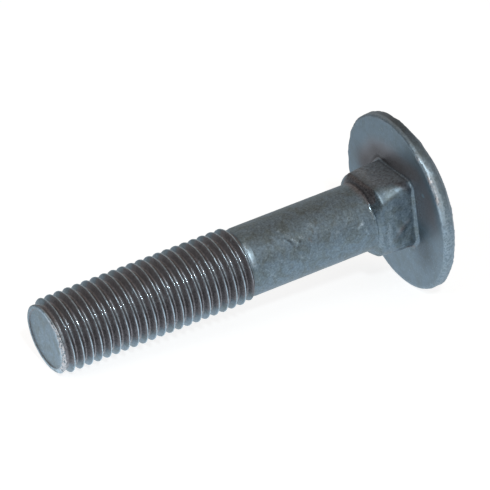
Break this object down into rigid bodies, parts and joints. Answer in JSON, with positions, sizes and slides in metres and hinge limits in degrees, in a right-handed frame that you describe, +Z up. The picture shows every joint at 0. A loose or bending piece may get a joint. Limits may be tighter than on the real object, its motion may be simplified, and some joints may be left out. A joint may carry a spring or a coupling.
{
  "type": "carriage bolt",
  "caption": "Carriage bolt with a domed round head, a short square neck, a plain shank and a right-hand metric thread.",
  "frame": {"origin": "centre of the head's flat underside, on the bolt's own axis", "axes": "+X from the head to the tip as seen from above, +Z up; the bolt's axis dips 8.1 degrees towards the tip, because the bolt lies on its head's rim and on its thread"},
  "size_m": [0.0889, 0.038, 0.0378],
  "materials": {
    "zinc_steel": "bluish zinc plating, half glossy, with small scuffs"
  },
  "bodies": {
    "root": {"carriage_bolt": "zinc_steel"}
  },
  "joints": []
}
